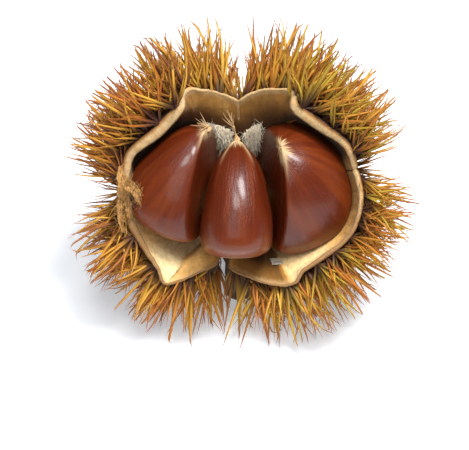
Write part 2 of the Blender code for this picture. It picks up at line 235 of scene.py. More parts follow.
def held(tree, name):
    """A value held on the mesh's points."""
    return put(tree, "ShaderNodeAttribute", attribute_name=name).outputs["Fac"]


def mixed(tree, factor, a, b, blend="MIX"):
    """Two colours mixed by a factor."""
    node = put(tree, "ShaderNodeMix", data_type="RGBA", blend_type=blend)
    for index, value in ((0, factor), (6, a), (7, b)):
        if isinstance(value, bpy.types.NodeSocket):
            tree.links.new(value, node.inputs[index])
        elif index:
            node.inputs[index].default_value = (*value, 1)
        else:
            node.inputs[index].default_value = value
    return node.outputs[2]


def maths(tree, operation, a, b=0.0):
    """One sum on two values."""
    return put(tree, "ShaderNodeMath", {0: a, 1: b}, operation=operation).outputs[0]


def between(tree, value, low, high, low_to=0.0, high_to=1.0):
    """A value's range, smoothly mapped to another."""
    return put(tree, "ShaderNodeMapRange",
               {"Value": value, "From Min": low, "From Max": high,
                "To Min": low_to, "To Max": high_to},
               interpolation_type="SMOOTHSTEP").outputs["Result"]


def new_material(name, roughness):
    """A material with its tree and its Principled shader."""
    material = bpy.data.materials.new(name)
    material.use_nodes = True
    tree = material.node_tree
    shader = tree.nodes["Principled BSDF"]
    shader.inputs["Roughness"].default_value = roughness
    return material, tree, shader


def bumped(tree, shader, height, distance, strength=1.0):
    """Roughens a shader's surface by a height; distance is in metres."""
    node = put(tree, "ShaderNodeBump",
               {"Height": height, "Distance": distance, "Strength": strength})
    tree.links.new(node.outputs["Normal"], shader.inputs["Normal"])


# Fibre streaks, in the wall's torn edge and lining, in the nuts' shells and in the stalk's bark:
# the pattern changes quickly across the fibres and slowly along them.
fibres = bpy.data.node_groups.new("fibre streaks", "ShaderNodeTree")
fibres.interface.new_socket("Place", in_out="INPUT", socket_type="NodeSocketVector")
for socket in ("Fineness", "Contrast"):
    made = fibres.interface.new_socket(socket, in_out="INPUT", socket_type="NodeSocketFloat")
    made.default_value = 1.0
fibres.interface.new_socket("Streak", in_out="OUTPUT", socket_type="NodeSocketFloat")
fibres.interface.new_socket("Blotch", in_out="OUTPUT", socket_type="NodeSocketFloat")
inside = put(fibres, "NodeGroupInput")
fine = put(fibres, "ShaderNodeTexNoise",
           {"Vector": inside.outputs["Place"], "Scale": inside.outputs["Fineness"],
            "Detail": 5.0, "Roughness": 0.62})
broad = put(fibres, "ShaderNodeTexNoise",
            {"Vector": inside.outputs["Place"],
             "Scale": maths(fibres, "MULTIPLY", inside.outputs["Fineness"], 0.22),
             "Detail": 2.0, "Roughness": 0.5})
centred = maths(fibres, "SUBTRACT", fine.outputs["Fac"], 0.5)
spread = maths(fibres, "MULTIPLY", centred, inside.outputs["Contrast"])
streak = put(fibres, "ShaderNodeClamp", {"Value": maths(fibres, "ADD", spread, 0.5)})
put(fibres, "NodeGroupOutput", {"Streak": streak.outputs[0], "Blotch": broad.outputs["Fac"]})


def streaked(tree, fineness, contrast):
    """The fibre streaks, where a piece's fibres lie: returns the streak and the blotch."""
    place = put(tree, "ShaderNodeAttribute", attribute_name="fibre_place").outputs["Vector"]
    node = put(tree, "ShaderNodeGroup", node_tree=fibres)
    tree.links.new(place, node.inputs["Place"])
    node.inputs["Fineness"].default_value = fineness
    node.inputs["Contrast"].default_value = contrast
    return node.outputs["Streak"], node.outputs["Blotch"]


LINING_PALE = (0.90, 0.54, 0.18)
# The cream of dry lining, also painted on as light where the lower valves' lining is lit.
LINING_CREAM_AND_PAINTED_LIGHT = (1.0, 0.80, 0.42)
LINING_TAN = (0.50, 0.235, 0.045)
# The lining's own dark brown, also painted on as shade deep in the cavity and on the upper valves.
LINING_BROWN_AND_PAINTED_SHADE = (0.12, 0.048, 0.006)
EDGE_CREAM = (0.64, 0.45, 0.23)
EDGE_BROWN = (0.27, 0.115, 0.032)
SKIN_DARK = (0.075, 0.038, 0.022)
SKIN_BROWN = (0.20, 0.105, 0.04)

lining_skin, tree, shader = new_material("suede lining", 0.82)
streak, blotch = streaked(tree, 1.0, 1.6)
speckle = put(tree, "ShaderNodeTexNoise",
              {"Vector": put(tree, "ShaderNodeTexCoord").outputs["Object"],
               "Scale": 900.0, "Detail": 4.0, "Roughness": 0.7})
rim_distance = held(tree, "rim_distance")
dryness_and_painted_light = held(tree, "dryness_and_painted_light")
tan = mixed(tree, between(tree, blotch, 0.42, 0.72, 0.0, 0.45), LINING_TAN, LINING_PALE)
# Paler and creamier where the lining is dry, and as painted light where the lower valves' lining is
# lit.
tan = mixed(tree, between(tree, dryness_and_painted_light, 0.0, 0.6, 0.0, 0.9), tan, LINING_PALE)
tan = mixed(tree, between(tree, dryness_and_painted_light, 0.5, 1.0, 0.0, 0.95), tan, LINING_CREAM_AND_PAINTED_LIGHT)
tan = mixed(tree, between(tree, streak, 0.60, 0.92, 0, 0.40), tan, LINING_BROWN_AND_PAINTED_SHADE)
# Painted shade: the upper valves' lining, which faces down, darkens to brown, over its own fresher
# brown.
fresh_brown_and_painted_shade = maths(tree, "MULTIPLY", between(tree, dryness_and_painted_light, 0.0, -1.0, 0.0, 0.92),
              between(tree, rim_distance, 0.0, 6.0, 0.7, 1.0))
tan = mixed(tree, fresh_brown_and_painted_shade, tan, LINING_BROWN_AND_PAINTED_SHADE)
tan = mixed(tree, between(tree, rim_distance, 0.2, 2.0, 0.45, 0.0), tan, EDGE_CREAM)
# Painted shade: deep in the cavity, beside the nuts, the lining darkens to brown, except on the lit
# lower valves.
painted_cavity_shade = maths(tree, "MULTIPLY", between(tree, rim_distance, 3.0, 11.0, 0, 0.95),
             between(tree, dryness_and_painted_light, -0.3, 0.2, 1.0, 0.10))
tan = mixed(tree, painted_cavity_shade, tan, LINING_BROWN_AND_PAINTED_SHADE)
tan = mixed(tree, between(tree, speckle.outputs["Fac"], 0.3, 0.65, 0.30, 0.0), tan, LINING_BROWN_AND_PAINTED_SHADE)
tree.links.new(tan, shader.inputs["Base Color"])
shader.inputs["Sheen Weight"].default_value = 0.08
shader.inputs["Specular IOR Level"].default_value = 0.25
bumped(tree, shader, maths(tree, "ADD", speckle.outputs["Fac"], streak), 0.00025, 0.7)

torn_edge, tree, shader = new_material("torn edge", 0.85)
streak, blotch = streaked(tree, 3.4, 1.5)
through = held(tree, "through")
cream = mixed(tree, between(tree, streak, 0.4, 0.95, 0, 0.75), EDGE_CREAM, EDGE_BROWN)
cream = mixed(tree, between(tree, blotch, 0.35, 0.7, 0, 0.35), cream, LINING_TAN)
cream = mixed(tree, between(tree, through, 0.05, 0.40, 1.0, 0.0), cream, EDGE_BROWN)
cream = mixed(tree, held(tree, "low"), cream, EDGE_BROWN)
cream = mixed(tree, between(tree, through, 0.86, 1.0, 0.0, 0.5), cream, LINING_BROWN_AND_PAINTED_SHADE)
tree.links.new(cream, shader.inputs["Base Color"])
shader.inputs["Specular IOR Level"].default_value = 0.2
bumped(tree, shader, streak, 0.0003, 0.8)

outer_skin, tree, shader = new_material("outer skin", 0.9)
coarse = put(tree, "ShaderNodeTexNoise",
             {"Vector": put(tree, "ShaderNodeTexCoord").outputs["Object"],
              "Scale": 420.0, "Detail": 4.0})
tree.links.new(mixed(tree, between(tree, coarse.outputs["Fac"], 0.4, 0.7), SKIN_DARK, SKIN_BROWN),
               shader.inputs["Base Color"])
bumped(tree, shader, coarse.outputs["Fac"], 0.0006)


def valve_columns(valve, n):
    """Where the wall's columns cross a valve, with one through its tip."""
    first, last, tip, _ = VALVES[valve]
    a0 = SPLITS[first][0]
    s = np.linspace(0, 1, n + 1)
    at = (tip - a0) / ((SPLITS[last][0] - a0) % 360)
    s[int(np.argmin(np.abs(s - at)))] = at
    return s


def split_row(name):
    """The row of the wall's grid where a split starts."""
    return int(np.argmin(np.abs(wall_heights - SPLITS[name][2])))


wall_heights = 1 - (1 - np.linspace(0, 1, WALL_ROWS + 1)) ** 1.25


def valve_grid(valve):
    """The outside and the lining of a valve as grids of points, with each point's fibre place."""
    first, last, tip, _ = VALVES[valve]
    s, t = np.meshgrid(valve_columns(valve, WALL_COLUMNS), wall_heights)
    outer = wall_point(valve, s, t)
    n_out = wall_normal(valve, s, t)
    n_out[0] = (0, 0, -1)
    azimuth = np.degrees(np.arctan2(outer[..., 1], outer[..., 0])) % 360
    names = list(VALVES)
    for column, name, step in ((0, first, -1), (-1, last, 1)):
        other = names[(names.index(valve) + step) % 4]
        rows = slice(1, split_row(name) + 1)
        n_out[rows, column] = unit(
            n_out[rows, column] + wall_normal(other, np.full_like(t[rows, 0], float(column == 0)),
                                              t[rows, 0]))
    flat = outer.reshape(-1, 3)
    swell = rough(flat, 7.5, 1).reshape(t.shape)
    small = rough(flat, 2.2, 2).reshape(t.shape)
    # The valve's tip is folded: a crease runs in from it, and the corner rolls outward.
    from_tip = (azimuth - tip + 180) % 360 - 180
    crease = np.exp(-(from_tip / 3.0) ** 2) * ease(t, 0.55, 0.95)
    roll = np.exp(-(from_tip / 5.5) ** 2) * ease(t, 0.90, 1.0)
    free = ease(t, 0.3, 0.8)
    outer = outer + n_out * ((SWELL * swell + PUCKER * small) * free - TIP_CREASE * crease)[..., None]
    outer = outer + (n_out * TIP_ROLL[valve] + (0, 0, -0.6)) * roll[..., None]
    # The torn rim is uneven.
    up = unit(wall_point(valve, s, t) - wall_point(valve, s, t - 0.02))
    tear = (TEAR[0] * rough(flat, 3.6, 3) + TEAR[1] * rough(flat, 0.9, 4)).reshape(t.shape)
    outer = outer + up * (tear * ease(t, 0.90, 1.0))[..., None]
    thin = 1 - smooth_through(*zip(*EDGE_THICKNESS), azimuth)
    thick = WALL * (1 - thin * ease(t, 0.80, 1.0) ** 1.5 + 0.10 * swell)
    inner = outer - n_out * thick[..., None]
    grain = 0.12 * rough(inner.reshape(-1, 3), 1.6, 5).reshape(t.shape)
    inner = inner + n_out * grain[..., None]
    length = np.linalg.norm(np.diff(outer, axis=0), axis=-1)
    from_rim = np.concatenate([np.cumsum(length[::-1], axis=0)[::-1], np.zeros((1, t.shape[1]))])
    return outer, inner, from_rim, np.radians(azimuth) * ARC_RADIUS


wall_points, wall_index = [], {}
wall_held = {"rim_distance": [], "through": [], "fibre_place": [], "dryness_and_painted_light": [], "low": []}
grids = {valve: valve_grid(valve) for valve in VALVES}


# How the lining's colour runs round the mouth, from -1, fresh and brown, to 1, dry and cream. It is
# partly the lining's own drying and partly painted light and shade: palest, as painted light,
# beside the tips of the lower valves, whose lining faces the lamps, and brownest, as painted
# shade, on the upper valves, whose lining faces down.
DRYNESS_AND_PAINTED_LIGHT = [(-23, 0.2), (10, -0.3), (30, -0.7), (63, -0.95), (90, -1.0), (92, -0.85), (119, -0.70),
         (150, -0.7), (180, -0.3), (195, 0.5), (208, 0.6), (221, 1.0), (230, 1.0), (235, 0.5),
         (247, 0.3), (256, -0.2), (262, -0.5),
         (268, -0.95), (295, -0.90), (301, 0.80), (322, 0.75), (337, 0.1)]


def wall_corner(side, valve, i, j, step=0):
    """The number of a point of the wall, made the first time that it is asked for."""
    first, last, _, _ = VALVES[valve]
    if j == 0:
        key = (side, step, "back")
    elif i == 0 and j <= split_row(first):
        key = (side, step, first, j)
    elif i == WALL_COLUMNS and j <= split_row(last):
        key = (side, step, last, j)
    else:
        key = (side, step, valve, i, j)
    if key not in wall_index:
        outer, inner, from_rim, arc = grids[valve]
        share = {"outside": 0.0, "lining": 1.0}.get(side, step / EDGE_STEPS)
        point = outer[j, i] * (1 - share) + inner[j, i] * share
        if side == "edge":
            back_j, back_i = (j - 1 if j == WALL_ROWS else j), min(max(i, 1), WALL_COLUMNS - 1)
            outward = unit(outer[j, i] - outer[back_j, back_i])
            point = point + outward * 0.45 * math.sin(math.pi * share)
            point = point + outward * 0.22 * rough([point], 0.9, 6)[0]
        wall_index[key] = len(wall_points)
        wall_points.append(point)
        around = (math.degrees(arc[j, i] / ARC_RADIUS) + 22) % 360 - 22
        wall_held["low"].append(0.65 * float(ease(-math.sin(math.radians(around)), 0.0, 0.4)))
        wall_held["rim_distance"].append(from_rim[j, i])
        wall_held["through"].append(share)
        wall_held["dryness_and_painted_light"].append(float(smooth_through(*zip(*DRYNESS_AND_PAINTED_LIGHT), around)))
        along = share * 0.5 if side == "edge" else from_rim[j, i] * 0.10
        split_run = from_rim[j, i] * 0.9 if side == "edge" else 0.0
        wall_held["fibre_place"].append((arc[j, i] + split_run, along, 0.0))
    return wall_index[key]


wall_faces, wall_kinds = [], []
for valve in VALVES:
    first, last, _, _ = VALVES[valve]
    for j in range(WALL_ROWS):
        for i in range(WALL_COLUMNS):
            for kind, side in enumerate(("outside", "lining")):
                quad = [wall_corner(side, valve, i, j), wall_corner(side, valve, i + 1, j),
                        wall_corner(side, valve, i + 1, j + 1), wall_corner(side, valve, i, j + 1)]
                quad = quad[1:] if j == 0 else quad
                wall_faces.append(quad[::-1] if kind else quad)
                wall_kinds.append(kind)
    # The torn edge: up one split, along the rim and down the next split.
    rim = ([(0, j) for j in range(split_row(first), WALL_ROWS)]
           + [(i, WALL_ROWS) for i in range(WALL_COLUMNS)]
           + [(WALL_COLUMNS, j) for j in range(WALL_ROWS, split_row(last) - 1, -1)])
    strips = [[wall_corner("outside", valve, i, j)]
              + [wall_corner("edge", valve, i, j, k) for k in range(1, EDGE_STEPS)]
              + [wall_corner("lining", valve, i, j)] for i, j in rim]
    for here, there in zip(strips, strips[1:]):
        for k in range(EDGE_STEPS):
            wall_faces.append([here[k], there[k], there[k + 1], here[k + 1]])
            wall_kinds.append(2)

husk_wall = new_mesh("husk_wall", placed(wall_points), wall_faces,
                     [outer_skin, lining_skin, torn_edge], wall_held, wall_kinds)
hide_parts("husk")
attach(husk_wall, "root")


# ---------------------------------------------------------------------------- the husk's spines
# The husk's spines are part of it: woody needles up to 2 cm long, that grow from the skin in
# tufts. They fan out from each valve, are shorter beside the splits, and give way on the ground.
# Each valve has its own coat, strewn on its skin.

SPIKE_REACH = (52.4, 52.2, 51.8)  # half axes of the egg that the spines reach
SPIKE_REACH_LOW = 49.0  # its half axis downward
SPIKE_REACH_BACK = 43.5  # its half axis backward
EGG_LIMIT = 0.988  # where the spines stop, as a share of the egg
SPIKE_HEART = (0.0, 0.0, -10.0)  # the point that the spines lean away from
STALK_RADIUS = 4.6
TUFT_SPACING = 0.0030  # metres
SPINES_PER_TUFT = 12
SPREAD = 1.05
SPINE_THICKNESS = 0.028  # radius at the root, as a share of the length
SPINE_OVERSHOOT = 1.03  # the longest spines, as a share of the way to the egg
# Spines that come down to the ground flatten out in a layer just over it, in metres.
GROUND_LAYER, GROUND_GAP, GROUND_SOFTNESS = 0.0012, 0.0002, 0.001
BOX_MARGIN = 0.0002

# How far the spines turn away from a split, and over how many degrees.
SPLIT_LEAN = {"right": (1.15, 15), "top": (1.25, 14), "left": (1.2, 16), "bottom": (1.4, 9)}

SPINE_OCHRE = (0.46, 0.185, 0.022)
SPINE_STRAW = (0.72, 0.39, 0.05)
SPINE_ORANGE = (0.47, 0.145, 0.024)
SPINE_GREEN = (0.50, 0.38, 0.045)
SPINE_BROWN_AND_SHADE = (0.20, 0.065, 0.028)
SPINE_TIP = (0.30, 0.085, 0.03)
SPINE_ROOT_AND_SHADE = (0.055, 0.022, 0.014)


def egg_axes(points):
    """The half axes of the egg that the spines reach, on the side where each point lies."""
    axes = np.tile(SPIKE_REACH, (len(points), 1))
    axes[points[:, 1] < 0, 1] = SPIKE_REACH_LOW
    axes[points[:, 2] < 0, 2] = SPIKE_REACH_BACK
    return axes


spine_skin, tree, shader = new_material("spine", 0.5)
tone = held(tree, "tone")
tuft = held(tree, "tuft")
along = held(tree, "along")
place = put(tree, "ShaderNodeSeparateXYZ",
            {0: put(tree, "ShaderNodeTexCoord").outputs["Object"]})
side = between(tree, place.outputs["X"], -0.04, 0.045, 0.05, 0.75)
ochre = mixed(tree, between(tree, tone, 0.15, 0.95), SPINE_OCHRE, SPINE_STRAW)
ochre = mixed(tree, between(tree, tuft, 0.45, 1.0, 0.0, 0.9), ochre, SPINE_ORANGE)
green = maths(tree, "MULTIPLY", between(tree, tuft, 0.62, 0.1, 0.0, 1.0), side)
ochre = mixed(tree, green, ochre, SPINE_GREEN)
# Spines of low random tone turn brown, more on the left: partly their own tone, partly painted shade
# on the darker left side and among the spines.
brown_and_left_shade = maths(tree, "MULTIPLY", between(tree, tone, 0.0, 0.38, 0.75, 0.0),
              between(tree, place.outputs["X"], -0.02, 0.03, 1.0, 0.3))
ochre = mixed(tree, brown_and_left_shade, ochre, SPINE_BROWN_AND_SHADE)
ochre = mixed(tree, between(tree, along, 0.62, 1.0, 0.0, 0.85), ochre, SPINE_TIP)
# Darker towards the root: partly the spines' own colour, partly painted shade deep in the dense coat.
ochre = mixed(tree, between(tree, along, 0.05, 0.50, 1.0, 0.0), ochre, SPINE_ROOT_AND_SHADE)
tree.links.new(ochre, shader.inputs["Base Color"])
shader.inputs["Specular IOR Level"].default_value = 0.22

coat = bpy.data.node_groups.new("spine coat", "GeometryNodeTree")
coat.interface.new_socket("Geometry", in_out="INPUT", socket_type="NodeSocketGeometry")
sockets = {}
for name, kind in (("Spacing", "Float"), ("Per Tuft", "Int"), ("Spread", "Float"),
                   ("Thickness", "Float"), ("Seed", "Int"), ("Material", "Material")):
    sockets[name] = coat.interface.new_socket(
        name, in_out="INPUT", socket_type="NodeSocket" + kind).identifier
coat.interface.new_socket("Geometry", in_out="OUTPUT", socket_type="NodeSocketGeometry")
given = put(coat, "NodeGroupInput").outputs


def chance(seed, low=0.0, high=1.0, kind="FLOAT"):
    """A random value for each element; seed sets values apart from each other."""
    node = put(coat, "FunctionNodeRandomValue", data_type=kind)
    low_at, high_at, out = {"FLOAT": (2, 3, 1), "FLOAT_VECTOR": (0, 1, 0), "INT": (4, 5, 2)}[kind]
    node.inputs[low_at].default_value = low
    node.inputs[high_at].default_value = high
    coat.links.new(maths(coat, "ADD", given["Seed"], seed * 101.0), node.inputs["Seed"])
    return node.outputs[out]


def vectors(operation, a, b=(0, 0, 0)):
    """One sum on two directions."""
    node = put(coat, "ShaderNodeVectorMath", {0: a, 1: b}, operation=operation)
    return node.outputs["Value" if operation == "DOT_PRODUCT" else "Vector"]


def scaled(direction, by):
    """A direction made longer or shorter."""
    return put(coat, "ShaderNodeVectorMath", {0: direction, "Scale": by},
               operation="SCALE").outputs["Vector"]


def read(name, kind="FLOAT"):
    """A value held on the skin."""
    return put(coat, "GeometryNodeInputNamedAttribute", {"Name": name},
               data_type=kind).outputs["Attribute"]


def keep(geometry, name, value):
    """Geometry with a value held on its points."""
    return put(coat, "GeometryNodeStoreNamedAttribute",
               {"Geometry": geometry, "Name": name, "Value": value},
               data_type="FLOAT", domain="POINT").outputs["Geometry"]


# One spine, standing along Z: straight, bent a little, and bent more.
shapes = put(coat, "GeometryNodeJoinGeometry")
for bend in (0.02, 0.10, 0.20):
    line = put(coat, "GeometryNodeCurveQuadraticBezier",
               {"Resolution": 5, "Start": (0, 0, 0), "Middle": (bend, 0, 0.5), "End": (0, 0, 1)})
    factor = put(coat, "GeometryNodeSplineParameter").outputs["Factor"]
    thin = maths(coat, "SUBTRACT", 1.03, maths(coat, "POWER", factor, 1.5))
    line = keep(line.outputs["Curve"], "along", factor)
    ring = put(coat, "GeometryNodeCurvePrimitiveCircle",
               {"Resolution": 4, "Radius": given["Thickness"]})
    spine = put(coat, "GeometryNodeCurveToMesh",
                {"Curve": line, "Profile Curve": ring.outputs["Curve"], "Scale": thin,
                 "Fill Caps": True})
    single = put(coat, "GeometryNodeGeometryToInstance")
    coat.links.new(spine.outputs["Mesh"], single.inputs[0])
    coat.links.new(single.outputs[0], shapes.inputs[0])

roots = put(coat, "GeometryNodeDistributePointsOnFaces",
            {"Mesh": given["Geometry"], "Distance Min": given["Spacing"], "Density Max": 4e5,
             "Density Factor": read("cover"), "Seed": given["Seed"]},
            distribute_method="POISSON")
tufts = keep(roots.outputs["Points"], "tuft", chance(1))
many = put(coat, "GeometryNodeDuplicateElements", {"Geometry": tufts, "Amount": given["Per Tuft"]},
           domain="POINT")
aim = read("aim", "FLOAT_VECTOR")
stray = chance(2, (-1, -1, -1), (1, 1, 1), "FLOAT_VECTOR")
stray = vectors("SUBTRACT", stray, scaled(aim, vectors("DOT_PRODUCT", stray, aim)))
stray = scaled(stray, maths(coat, "MULTIPLY", given["Spread"], read("loose")))
heading = vectors("NORMALIZE", vectors("ADD", aim, stray))
straight = maths(coat, "MAXIMUM", vectors("DOT_PRODUCT", heading, aim), 0.2)
shorter = maths(coat, "POWER", straight, 0.8)
length = maths(coat, "MULTIPLY", read("reach"), chance(3, 0.70, 1.22))
length = maths(coat, "MULTIPLY", length, shorter)
moved = put(coat, "GeometryNodeSetPosition",
            {"Geometry": many.outputs["Geometry"], "Offset": scaled(stray, 0.0005)})
toned = keep(moved.outputs["Geometry"], "tone", chance(4))
turn = put(coat, "FunctionNodeAlignRotationToVector", {"Vector": heading}, axis="Z")
roll = put(coat, "ShaderNodeCombineXYZ", {"Z": chance(5, 0.0, 6.283)})
turned = put(coat, "FunctionNodeRotateRotation",
             {"Rotation": turn.outputs["Rotation"], "Rotate By": roll.outputs[0]},
             rotation_space="LOCAL")
grown = put(coat, "GeometryNodeInstanceOnPoints",
            {"Points": toned, "Instance": shapes.outputs[0], "Pick Instance": True,
             "Instance Index": chance(6, 0, 2, "INT"),
             "Rotation": turned.outputs["Rotation"], "Scale": scaled((1.0, 1.0, 1.0), length)})
real = put(coat, "GeometryNodeRealizeInstances", {"Geometry": grown.outputs["Instances"]})
smooth = put(coat, "GeometryNodeSetShadeSmooth", {"Geometry": real.outputs["Geometry"]})
dressed = put(coat, "GeometryNodeSetMaterial",
              {"Geometry": smooth.outputs["Geometry"], "Material": given["Material"]})
put(coat, "NodeGroupOutput", {"Geometry": dressed.outputs["Geometry"]})


def apart_from(name, azimuth):
    """How many degrees an azimuth is from a split."""
    return np.abs((azimuth - SPLITS[name][0] + 180) % 360 - 180)


def grid_quads(rows, columns, start=0):
    """The four-sided faces of a grid of points whose first point has the number start."""
    return [tuple(start + k for k in (j * columns + i, j * columns + i + 1,
                                      (j + 1) * columns + i + 1, (j + 1) * columns + i))
            for j in range(rows - 1) for i in range(columns - 1)]


for seed, (valve, (first, last, *_)) in enumerate(VALVES.items()):
    skin = grids[valve][0][::3, ::3]
    rows, columns = skin.shape[:2]
    bed_points = skin.reshape(-1, 3)
    s, t = np.meshgrid(valve_columns(valve, WALL_COLUMNS)[::3], wall_heights[::3])
    out = wall_normal(valve, s, np.maximum(t, 0.01)).reshape(-1, 3)
    heads = unit(0.65 * unit(bed_points - np.array(SPIKE_HEART)) + 0.35 * out)
    azimuth = np.degrees(np.arctan2(bed_points[:, 1], bed_points[:, 0]))
    across = unit(np.stack([-bed_points[:, 1], bed_points[:, 0], 0 * azimuth], axis=-1))
    height = t.reshape(-1)
    for name, sign in ((first, 1), (last, -1)):
        most, width = SPLIT_LEAN[name]
        lean = most * np.exp(-(apart_from(name, azimuth) / width) ** 2) * ease(height, 0.15, 0.6)
        heads = unit(heads + sign * lean[:, None] * across)
    radial = unit(bed_points * (1, 1, 0))
    rim_lean = rim_of(valve, s)[2][2].reshape(-1)
    back = ease(height, 0.72, 0.98) * ease(rim_lean, 5, 35)
    heads = unit(heads + back[:, None] * (0.55 * radial - (0, 0, 0.45)))
    apart = np.minimum(apart_from(first, azimuth), apart_from(last, azimuth))
    axes = egg_axes(bed_points)
    p, d = bed_points / axes, heads / axes
    a, b, c = (d * d).sum(1), (p * d).sum(1), (p * p).sum(1) - 1
    reach = (np.sqrt(np.maximum(b * b - a * c, 0)) - b) / a
    reach = reach * (1 - 0.50 * np.exp(-(apart / 7) ** 2) * ease(height, 0.3, 0.7))
    fall = heads @ down
    room = CENTRE_HEIGHT - bed_points @ down
    reach = np.where(fall > 0.05, np.minimum(reach, 1.1 * room / np.maximum(fall, 0.05)), reach)
    aside = np.linalg.norm(bed_points - np.outer(bed_points @ down, down), axis=1)
    cover = ease(aside, STALK_RADIUS + 1.5, STALK_RADIUS + 4)
    cover = np.where(bed_points @ down > 0, cover, 1.0)
    flared = ease(rim_lean, 5, 30)
    loose = 1 - 0.45 * flared * ease(height, 0.82, 0.95)  # they lie closer together at a flared rim
    cover = cover * (1 - flared * ease(height, 0.94, 0.975))
    bed = new_mesh("bed", placed(bed_points), grid_quads(rows, columns), [],
                   {"aim": heads @ husk_turn.T, "reach": reach * MM * SPINE_OVERSHOOT,
                    "cover": cover, "loose": loose})
    grow = bed.modifiers.new("coat", "NODES")
    grow.node_group = coat
    for name, value in (("Spacing", TUFT_SPACING), ("Per Tuft", SPINES_PER_TUFT),
                        ("Spread", SPREAD), ("Thickness", SPINE_THICKNESS),
                        ("Seed", seed + 20), ("Material", spine_skin)):
        grow[sockets[name]] = value
    bpy.context.view_layer.update()
    grown_mesh = bpy.data.meshes.new_from_object(
        bed.evaluated_get(bpy.context.evaluated_depsgraph_get()))
    bpy.data.objects.remove(bed)
    # Spines that would pass the egg or the ground bend along it.
    ends = np.empty(len(grown_mesh.vertices) * 3, np.float32)
    grown_mesh.vertices.foreach_get("co", ends)
    ends = (ends.reshape(-1, 3) - husk_centre) @ husk_turn / MM
    ends /= np.maximum(np.linalg.norm(ends / egg_axes(ends), axis=1) / EGG_LIMIT, 1)[:, None]
    ends = placed(ends)
    over = ends[:, 2] - GROUND_LAYER
    pressed = GROUND_GAP + GROUND_SOFTNESS * np.exp(over / GROUND_SOFTNESS)
    ends[:, 2] = np.where(over < 0, pressed, ends[:, 2])
    ends = np.clip(ends, np.array(cad_box[0]) + (BOX_MARGIN, BOX_MARGIN, 0),
                   np.array(cad_box[1]) - BOX_MARGIN)
    grown_mesh.vertices.foreach_set("co", ends.astype(np.float32).reshape(-1))
    grown_mesh.update()
    grown_mesh.name = "spines_" + valve
    spines = bpy.data.objects.new("spines_" + valve, grown_mesh)
    bpy.context.collection.objects.link(spines)
    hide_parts("husk")
    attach(spines, "root")


# ---------------------------------------------------------------------------- the stalk
# The stub of the twig that the burr grew on, cut off flat. It's rough brown bark round wood, and
# the husk stands on its cut end.

BARK_DARK = (0.09, 0.045, 0.02)
BARK_GREY = (0.27, 0.19, 0.11)
WOOD = (0.52, 0.37, 0.19)
# In metres, like the stalk's box.
BARK_RADIUS = 0.0044
BARK_FLARE, FLARE_HEIGHT = 0.0011, 0.0028  # where the stalk widens into the husk
CHAMFER = 0.0004
END_RINGS = 4

bark_skin, tree, shader = new_material("bark", 0.9)
streak, blotch = streaked(tree, 2.0, 2.2)
bark = mixed(tree, streak, BARK_DARK, BARK_GREY)
bark = mixed(tree, held(tree, "cut_end"), bark, WOOD)
tree.links.new(bark, shader.inputs["Base Color"])
bumped(tree, shader, streak, 0.0005)

STALK_SIDES, STALK_RINGS = 72, 60
stalk_middle = (stalk_low + stalk_high) / 2
turns = np.linspace(0, 2 * math.pi, STALK_SIDES, endpoint=False)
rows = []
for z in np.linspace(stalk_low[2], stalk_high[2], STALK_RINGS):
    radius = BARK_RADIUS + ease(z, stalk_high[2] - FLARE_HEIGHT, stalk_high[2]) * BARK_FLARE
    rows.append(np.stack([np.cos(turns) * radius, np.sin(turns) * radius, np.full(STALK_SIDES, z)],
                         axis=-1))
# The cut end is chamfered a little, and closed by rings that run in to its middle.
ends = [[rows[0] * (k, k, 1) + (0, 0, (1 - k) * CHAMFER if k > 0.9 else 0)
         for k in (0.05, 0.4, 0.75, 0.95)],
        [rows[-1] * (k, k, 1) for k in (0.95, 0.6, 0.3, 0.05)]]
rows = ends[0] + rows[1:-1] + ends[1]
rows = np.array(rows)
bark_bumps = rough(rows.reshape(-1, 3) * (1000, 1000, 350), 1.3, 8).reshape(rows.shape[:2])
knobs = rough(rows.reshape(-1, 3) * 1000, 4.0, 9).reshape(rows.shape[:2])
side_only = np.ones(len(rows))
side_only[:END_RINGS] = side_only[-END_RINGS:] = 0
swell = 1 + ((0.045 * bark_bumps + 0.05 * knobs) * side_only[:, None])[..., None] * (1, 1, 0)
stalk_points = (rows * swell).reshape(-1, 3) + (*stalk_middle[:2], 0)
stalk_faces = [(j * STALK_SIDES + i, j * STALK_SIDES + (i + 1) % STALK_SIDES,
                (j + 1) * STALK_SIDES + (i + 1) % STALK_SIDES, (j + 1) * STALK_SIDES + i)
               for j in range(len(rows) - 1) for i in range(STALK_SIDES)]
stalk_faces += [tuple(range(STALK_SIDES))[::-1],
                tuple((len(rows) - 1) * STALK_SIDES + i for i in range(STALK_SIDES))]
cut_end = np.repeat(np.where(np.arange(len(rows)) < END_RINGS, 1.0, 0.0), STALK_SIDES)
bark_place = np.stack([np.tile(np.cos(turns), len(rows)) * 4, np.tile(np.sin(turns), len(rows)) * 4,
                       stalk_points[:, 2] * 180], axis=-1)
stalk = new_mesh("stalk_bark", stalk_points, stalk_faces, [bark_skin],
                 {"cut_end": cut_end, "fibre_place": bark_place})
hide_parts("stalk")
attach(stalk, "root")


# ---------------------------------------------------------------------------- the nuts
# Three chestnuts, side by side. Their shells are thin, tough and glossy, red-brown with darker
# lines from base to tip. Where they grew against each other they have flat faces with a soft
# ridge between, and the tips are covered in pale felt.

NUT_OUTLINE = [(0, 0), (0.01, 0.48), (0.04, 0.75), (0.09, 0.92), (0.17, 0.99), (0.27, 1.0),
               (0.40, 0.965), (0.53, 0.885), (0.66, 0.775), (0.77, 0.64), (0.86, 0.48),
               (0.93, 0.29), (0.975, 0.13), (1.0, 0.0)]
